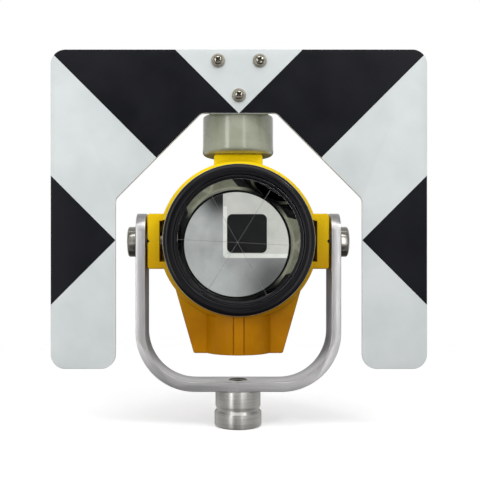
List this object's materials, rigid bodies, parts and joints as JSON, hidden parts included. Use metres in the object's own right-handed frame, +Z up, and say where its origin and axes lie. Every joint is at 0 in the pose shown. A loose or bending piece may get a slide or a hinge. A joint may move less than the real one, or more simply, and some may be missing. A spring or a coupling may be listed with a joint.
{
  "type": "survey prism",
  "caption": "Corner-cube surveying prism in a tilting holder on a flat-bar yoke, with a black and white target plate above and a pole adapter below.",
  "frame": {"origin": "centre of the pole adapter's bottom face, on the vertical axis of the yoke", "axes": "+Z up along the pole, the prism and the target plate look along -Y, +X to the right as seen from the front"},
  "size_m": [0.19, 0.0531, 0.1943],
  "materials": {
    "brushed_aluminium": "brushed along the bar, clear anodised",
    "stainless_steel": "fine turned",
    "nickel": "bright nickel plate",
    "yellow_plastic": "moulded, satin gloss",
    "black_anodised": "glossy black anodised, turned",
    "rubber": "matte",
    "foam": "closed-cell foam",
    "prism_glass": "polished, with silvered back faces",
    "grey_gloss": "gloss",
    "target_paint": "satin white and black paint on sheet aluminium",
    "dark_nylon": "matte"
  },
  "bodies": {
    "bracket": {"yoke": "brushed_aluminium", "pole_adapter": "stainless_steel", "adapter_screw": "nickel"},
    "holder": {"prism_holder": "yellow_plastic", "friction_washer_left": "dark_nylon", "friction_washer_right": "dark_nylon", "pivot_bush_left": "nickel", "pivot_bush_right": "nickel", "target_spigot": "nickel"},
    "left_pivot": {"pivot_screw_left": "nickel"},
    "right_pivot": {"pivot_screw_right": "nickel"},
    "canister": {"canister_body": "black_anodised", "front_ring": "black_anodised", "front_gasket": "rubber", "prism_glass": "prism_glass", "rear_cushion": "foam", "cap_seal": "rubber", "canister_cap": "black_anodised"},
    "target": {"target_mount": "grey_gloss", "target_plate": "target_paint", "target_washer_left": "nickel", "target_washer_right": "nickel", "target_washer_lower": "nickel", "target_screw_left": "nickel", "target_screw_right": "nickel", "target_screw_lower": "nickel"},
    "set_screw": {"mount_set_screw": "nickel"}
  },
  "joints": [
    {"name": "holder_tilt", "type": "hinge", "parent": "bracket", "child": "holder", "pos_m": [0, 0, 0.098], "axis": [1, 0, 0], "range_deg": [-120, 120]},
    {"name": "target_swivel", "type": "hinge", "parent": "holder", "child": "target", "pos_m": [0, 0, 0.1437], "axis": [0, 0, 1], "range_deg": [0, 180]},
    {"name": "canister_draw", "type": "slide", "parent": "holder", "child": "canister", "axis": [0, -1, 0], "range_m": [0, 0.035]},
    {"name": "pivot_screw_left_turn", "type": "hinge", "parent": "bracket", "child": "left_pivot", "pos_m": [-0.0558, 0, 0.098], "axis": [1, 0, 0], "range_deg": [-90, 90]},
    {"name": "pivot_screw_right_turn", "type": "hinge", "parent": "bracket", "child": "right_pivot", "pos_m": [0.0558, 0, 0.098], "axis": [1, 0, 0], "range_deg": [-90, 90]},
    {"name": "set_screw_turn", "type": "hinge", "parent": "target", "child": "set_screw", "pos_m": [0, 0.01, 0.1507], "axis": [0, 1, 0], "range_deg": [0, 180]}
  ]
}
